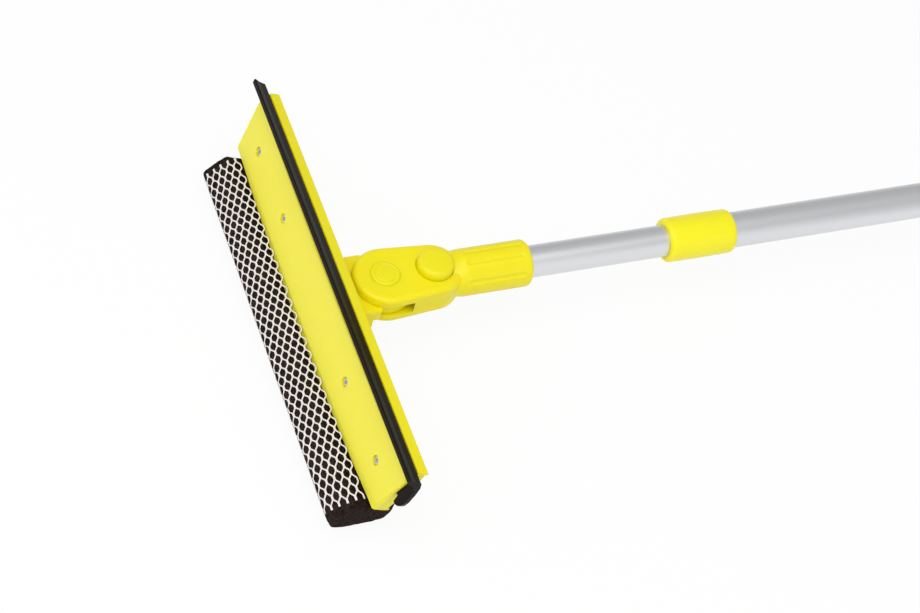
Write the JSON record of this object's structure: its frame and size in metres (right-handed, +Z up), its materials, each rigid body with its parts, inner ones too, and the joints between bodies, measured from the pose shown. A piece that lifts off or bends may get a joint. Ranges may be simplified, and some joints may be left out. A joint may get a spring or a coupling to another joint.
{
  "type": "window_scrubber",
  "caption": "Window scrubber with a rubber blade and a netted sponge on one swivelling head, a push-button lock and a twist-lock telescopic pole",
  "frame": {"origin": "middle of the object's footprint, on the plane that the sponge stands on", "axes": "X along the pole from the head to the hand end, Y along the head, Z up along the swivel axis with the rubber blade on top"},
  "size_m": [0.7622, 0.333, 0.0808],
  "materials": {
    "yellow_plastic": "moulded, lightly glossy",
    "pale_plastic": "moulded, slightly translucent, soft gloss",
    "white_plastic": "plain moulded",
    "dark_plastic": "plain moulded",
    "blade_rubber": "extruded, satin",
    "grip_rubber": "matte, grooved",
    "foam": "open-cell foam",
    "net": "knitted hexagonal net",
    "tube_metal": "drawn, satin",
    "steel": "zinc plated"
  },
  "bodies": {
    "pole_inner": {"yoke": "yellow_plastic", "pivot_bolt": "steel", "spring_washer": "steel", "pivot_nut": "steel", "pivot_cap": "yellow_plastic", "nut_cap": "yellow_plastic", "friction_washers": "white_plastic", "lock_spring": "steel", "inner_tube": "tube_metal", "socket_screw": "steel", "lock_cone": "dark_plastic", "cone_screw": "steel"},
    "head": {"head_frame": "yellow_plastic", "front_plate": "pale_plastic", "squeegee_blade": "blade_rubber", "sponge": "foam", "sponge_net": "net", "clamp_screws": "steel"},
    "lock": {"lock_button": "yellow_plastic", "lock_pawl": "steel"},
    "twist": {"lock_ring": "white_plastic"},
    "pole_outer": {"outer_tube": "tube_metal", "pole_collar": "yellow_plastic", "hand_grip": "grip_rubber", "end_cap": "yellow_plastic"}
  },
  "joints": [
    {"name": "head_swivel", "type": "hinge", "parent": "pole_inner", "child": "head", "pos_m": [-0.3012, 0, 0.05202], "axis": [0, 0, 1], "range_deg": [-45, 45]},
    {"name": "lock_press", "type": "slide", "parent": "pole_inner", "child": "lock", "axis": [0, 0, -1], "range_m": [0, 0.0044], "stiffness_N_per_m": 800, "springref_m": -0.003, "deforming": ["lock_spring"]},
    {"name": "pole_twist", "type": "hinge", "parent": "pole_inner", "child": "twist", "pos_m": [0.1988, 0, 0.05202], "axis": [1, 0, 0], "range_deg": [-180, 0]},
    {"name": "telescope", "type": "slide", "parent": "twist", "child": "pole_outer", "axis": [1, 0, 0], "range_m": [-0.1, 0.215]}
  ]
}
